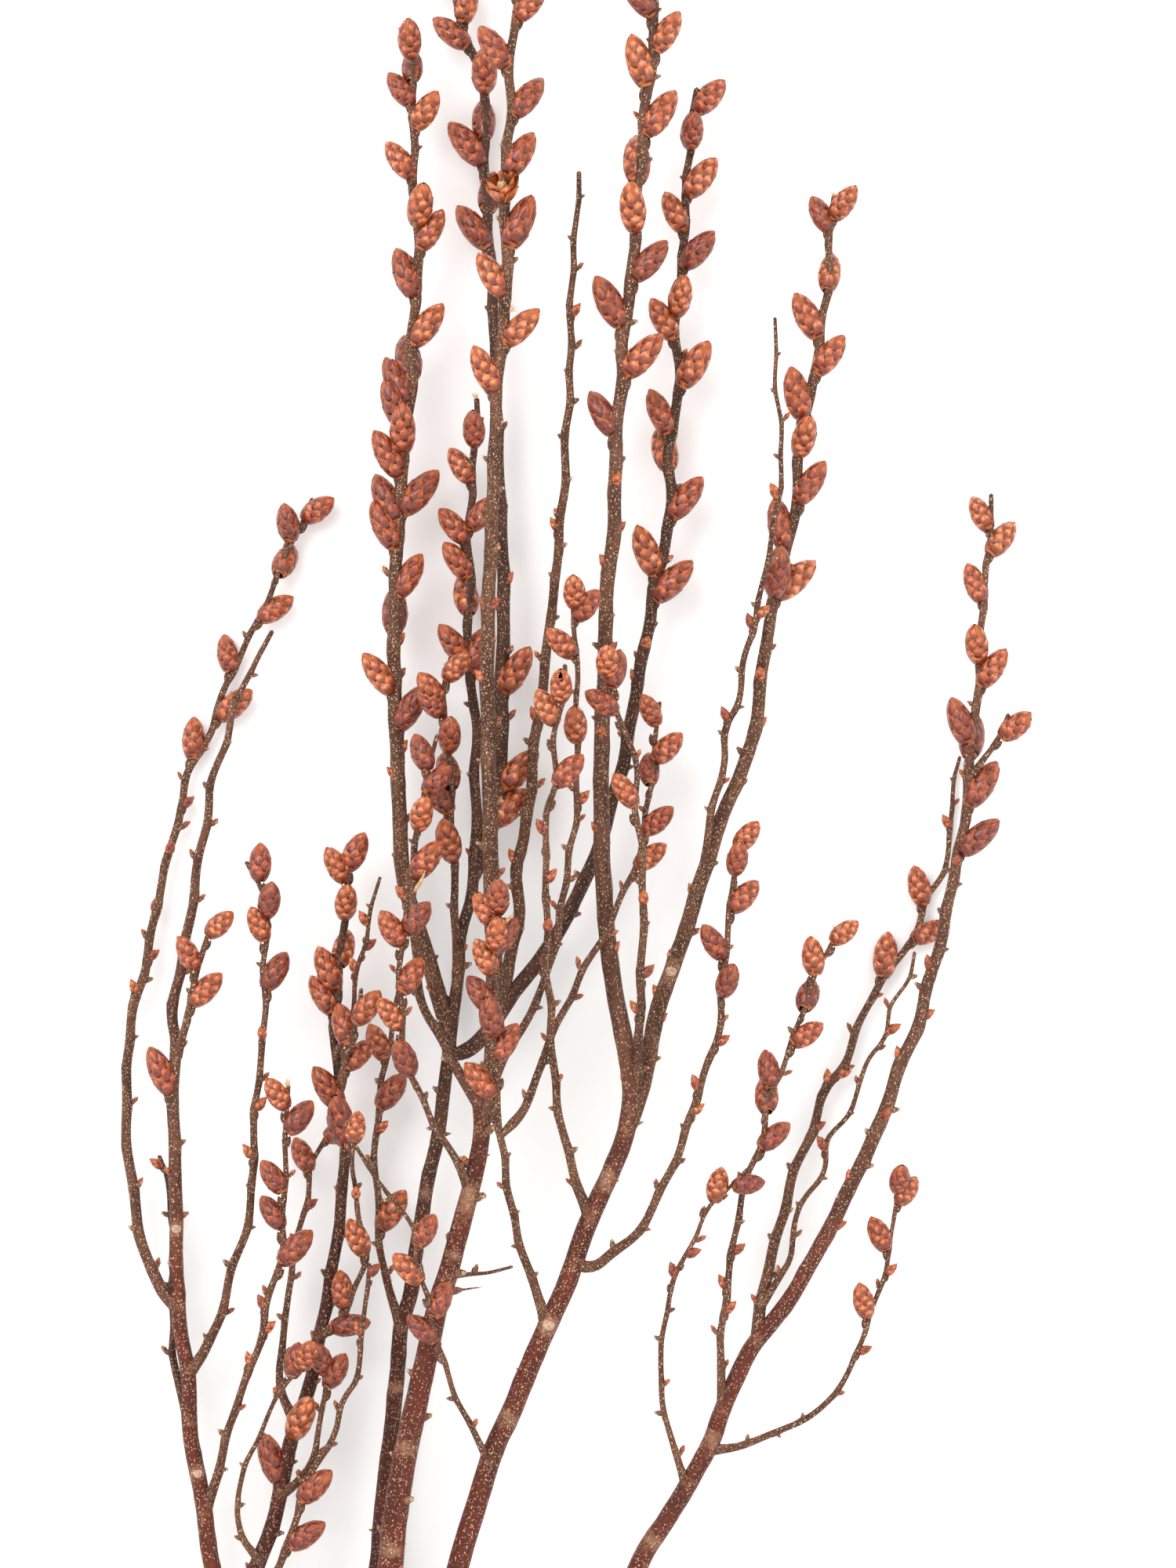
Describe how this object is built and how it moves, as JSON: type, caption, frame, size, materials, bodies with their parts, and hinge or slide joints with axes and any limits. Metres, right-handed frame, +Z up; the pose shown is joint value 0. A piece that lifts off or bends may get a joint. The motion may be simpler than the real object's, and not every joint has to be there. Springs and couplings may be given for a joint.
{
  "type": "bog myrtle branch",
  "caption": "Cut branch of bog myrtle in winter: forked bare twigs with scaly closed catkins and small side buds, lying flat.",
  "frame": {"origin": "middle of the branch's bounding box, at its underside", "axes": "+Y along the branch from its cut butt to the tips, +X to the right as seen from above, +Z up from the surface it lies on"},
  "size_m": [0.1512, 0.393, 0.0369],
  "materials": {
    "red_bark": "satin",
    "brown_bark": "matte",
    "dark_bark": "matte"
  },
  "bodies": {
    "root": {"main_stem": "red_bark", "left_limb": "red_bark", "right_centre_limb": "red_bark", "right_limb": "red_bark", "back_limb": "dark_bark", "low_limb": "dark_bark", "left_outer_twig": "brown_bark", "left_inner_twig": "brown_bark", "left_back_twig": "dark_bark", "left_side_spray": "brown_bark", "left_low_twig": "brown_bark", "low_hook_twig": "brown_bark", "low_right_twig": "brown_bark", "low_middle_twig": "brown_bark", "low_back_twig": "brown_bark", "low_bent_twig": "brown_bark", "low_front_spray": "brown_bark", "low_thin_twig": "brown_bark", "back_left_twig": "brown_bark", "left_tall_twig": "brown_bark", "left_arm_twig": "brown_bark", "middle_spray": "brown_bark", "front_left_twig": "brown_bark", "front_low_twig": "brown_bark", "dead_twig": "brown_bark", "tall_back_stem": "dark_bark", "tall_front_stem": "brown_bark", "front_twig": "brown_bark", "crossing_stem": "dark_bark", "middle_tall_twig": "brown_bark", "slanting_twig": "brown_bark", "middle_thin_twig": "brown_bark", "middle_front_twig": "brown_bark", "red_front_twig": "brown_bark", "right_tall_twig": "brown_bark", "right_thin_twig": "brown_bark", "right_inner_spray": "brown_bark", "right_spur": "brown_bark", "right_middle_twig": "brown_bark", "right_bent_twig": "brown_bark", "right_red_spray": "brown_bark", "right_left_spray": "brown_bark", "right_low_spray": "brown_bark"}
  },
  "joints": []
}
